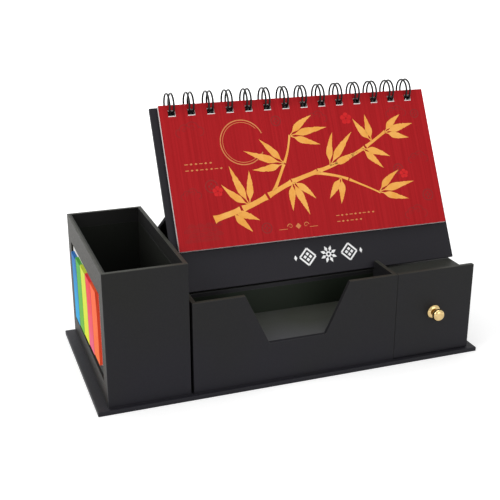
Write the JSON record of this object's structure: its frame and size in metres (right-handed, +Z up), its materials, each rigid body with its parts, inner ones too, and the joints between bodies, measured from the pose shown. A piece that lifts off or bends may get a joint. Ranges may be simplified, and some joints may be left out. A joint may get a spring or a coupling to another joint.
{
  "type": "desk calendar stand with drawer",
  "caption": "Desk calendar stand: greyboard base with an open pen box, a notched note tray, a small drawer with a round knob and a wire-bound flip calendar on a folding easel.",
  "frame": {"origin": "centre of the base board's underside", "axes": "+X to the drawer's end, +Y to the back, +Z up; the drawer and tray face -Y"},
  "size_m": [0.2874, 0.1408, 0.1912],
  "materials": {
    "black_wrap": "matt black paper over greyboard",
    "black_liner": "matt black lining paper over greyboard",
    "board_wrap": "matt black paper over greyboard, faintly violet",
    "hinge_cloth": "black book cloth",
    "white_card": "smooth white card",
    "flag_orange": "coloured note paper",
    "flag_pink": "coloured note paper",
    "flag_yellow": "coloured note paper",
    "flag_green": "coloured note paper",
    "flag_blue": "coloured note paper",
    "brass": "polished",
    "steel": "zinc plated",
    "black_wire": "black nylon-coated wire, glossy",
    "cover_print": "printed coated paper, satin",
    "leaf_paper": "printed uncoated paper"
  },
  "bodies": {
    "stand": {"base_board": "black_wrap", "pen_front_panel": "black_wrap", "pen_back_panel": "black_wrap", "pen_right_panel": "black_wrap", "pen_left_frame": "black_wrap", "pen_left_liner": "black_liner", "pen_floor_panel": "black_liner", "flag_backing_card": "white_card", "flag_pad_orange": "flag_orange", "flag_pad_pink": "flag_pink", "flag_pad_yellow": "flag_yellow", "flag_pad_green": "flag_green", "flag_pad_blue": "flag_blue", "tray_front_panel": "black_wrap", "tray_left_panel": "black_wrap", "tray_back_panel": "black_liner", "tray_floor_panel": "black_liner", "case_left_panel": "black_wrap", "case_right_panel": "black_wrap", "rear_panel": "black_wrap", "deck_panel": "black_wrap", "flap_hinge_tape": "hinge_cloth"},
    "drawer": {"drawer_front_panel": "black_wrap", "drawer_left_side": "black_liner", "drawer_right_side": "black_liner", "drawer_back_panel": "black_liner", "drawer_bottom_panel": "black_liner", "drawer_knob": "brass", "knob_washer": "steel", "knob_screw": "steel"},
    "flap": {"rear_flap": "board_wrap"},
    "board": {"calendar_board": "board_wrap", "board_hinge_tape": "hinge_cloth", "wire_binding": "black_wire"},
    "cover": {"cover_leaf": "cover_print"},
    "month_01": {"month_leaf_01": "leaf_paper"},
    "month_02": {"month_leaf_02": "leaf_paper"},
    "month_03": {"month_leaf_03": "leaf_paper"},
    "month_04": {"month_leaf_04": "leaf_paper"},
    "month_05": {"month_leaf_05": "leaf_paper"},
    "month_06": {"month_leaf_06": "leaf_paper"},
    "month_07": {"month_leaf_07": "leaf_paper"},
    "month_08": {"month_leaf_08": "leaf_paper"},
    "month_09": {"month_leaf_09": "leaf_paper"},
    "month_10": {"month_leaf_10": "leaf_paper"},
    "month_11": {"month_leaf_11": "leaf_paper"},
    "month_12": {"month_leaf_12": "leaf_paper"}
  },
  "joints": [
    {"name": "drawer_slide", "type": "slide", "parent": "stand", "child": "drawer", "axis": [0, -1, 0], "range_m": [0, 0.095]},
    {"name": "easel_lift", "type": "hinge", "parent": "stand", "child": "flap", "pos_m": [0, 0.0664, 0.063], "axis": [-1, 0, 0], "range_deg": [0, 60]},
    {"name": "easel_close", "type": "hinge", "parent": "flap", "child": "board", "pos_m": [0, -0.00481, 0.10952], "axis": [1, 0, 0], "range_deg": [0, 82]},
    {"name": "cover_turn", "type": "hinge", "parent": "board", "child": "cover", "pos_m": [0, 0.03073, 0.18249], "axis": [-1, 0, 0], "range_deg": [0, 225]},
    {"name": "month_01_turn", "type": "hinge", "parent": "board", "child": "month_01", "pos_m": [0, 0.03073, 0.18249], "axis": [-1, 0, 0], "range_deg": [0, 208.2]},
    {"name": "month_02_turn", "type": "hinge", "parent": "board", "child": "month_02", "pos_m": [0, 0.03073, 0.18249], "axis": [-1, 0, 0], "range_deg": [0, 190.89]},
    {"name": "month_03_turn", "type": "hinge", "parent": "board", "child": "month_03", "pos_m": [0, 0.03073, 0.18249], "axis": [-1, 0, 0], "range_deg": [0, 173.57]},
    {"name": "month_04_turn", "type": "hinge", "parent": "board", "child": "month_04", "pos_m": [0, 0.03073, 0.18249], "axis": [-1, 0, 0], "range_deg": [0, 156.27]},
    {"name": "month_05_turn", "type": "hinge", "parent": "board", "child": "month_05", "pos_m": [0, 0.03073, 0.18249], "axis": [-1, 0, 0], "range_deg": [0, 138.96]},
    {"name": "month_06_turn", "type": "hinge", "parent": "board", "child": "month_06", "pos_m": [0, 0.03073, 0.18249], "axis": [-1, 0, 0], "range_deg": [0, 121.66]},
    {"name": "month_07_turn", "type": "hinge", "parent": "board", "child": "month_07", "pos_m": [0, 0.03073, 0.18249], "axis": [-1, 0, 0], "range_deg": [0, 104.34]},
    {"name": "month_08_turn", "type": "hinge", "parent": "board", "child": "month_08", "pos_m": [0, 0.03073, 0.18249], "axis": [-1, 0, 0], "range_deg": [0, 87.03]},
    {"name": "month_09_turn", "type": "hinge", "parent": "board", "child": "month_09", "pos_m": [0, 0.03073, 0.18249], "axis": [-1, 0, 0], "range_deg": [0, 69.73]},
    {"name": "month_10_turn", "type": "hinge", "parent": "board", "child": "month_10", "pos_m": [0, 0.03073, 0.18249], "axis": [-1, 0, 0], "range_deg": [0, 52.43]},
    {"name": "month_11_turn", "type": "hinge", "parent": "board", "child": "month_11", "pos_m": [0, 0.03073, 0.18249], "axis": [-1, 0, 0], "range_deg": [0, 35.1]},
    {"name": "month_12_turn", "type": "hinge", "parent": "board", "child": "month_12", "pos_m": [0, 0.03073, 0.18249], "axis": [-1, 0, 0], "range_deg": [0, 17.8]}
  ],
  "couplings": [
    {"joint": "easel_close", "follows": "easel_lift", "ratio": 1.35},
    {"joint": "month_01_turn", "follows": "cover_turn", "ratio": 0.9231},
    {"joint": "month_02_turn", "follows": "cover_turn", "ratio": 0.8462},
    {"joint": "month_03_turn", "follows": "cover_turn", "ratio": 0.7692},
    {"joint": "month_04_turn", "follows": "cover_turn", "ratio": 0.6923},
    {"joint": "month_05_turn", "follows": "cover_turn", "ratio": 0.6154},
    {"joint": "month_06_turn", "follows": "cover_turn", "ratio": 0.5385},
    {"joint": "month_07_turn", "follows": "cover_turn", "ratio": 0.4615},
    {"joint": "month_08_turn", "follows": "cover_turn", "ratio": 0.3846},
    {"joint": "month_09_turn", "follows": "cover_turn", "ratio": 0.3077},
    {"joint": "month_10_turn", "follows": "cover_turn", "ratio": 0.2308},
    {"joint": "month_11_turn", "follows": "cover_turn", "ratio": 0.1538},
    {"joint": "month_12_turn", "follows": "cover_turn", "ratio": 0.0769}
  ]
}
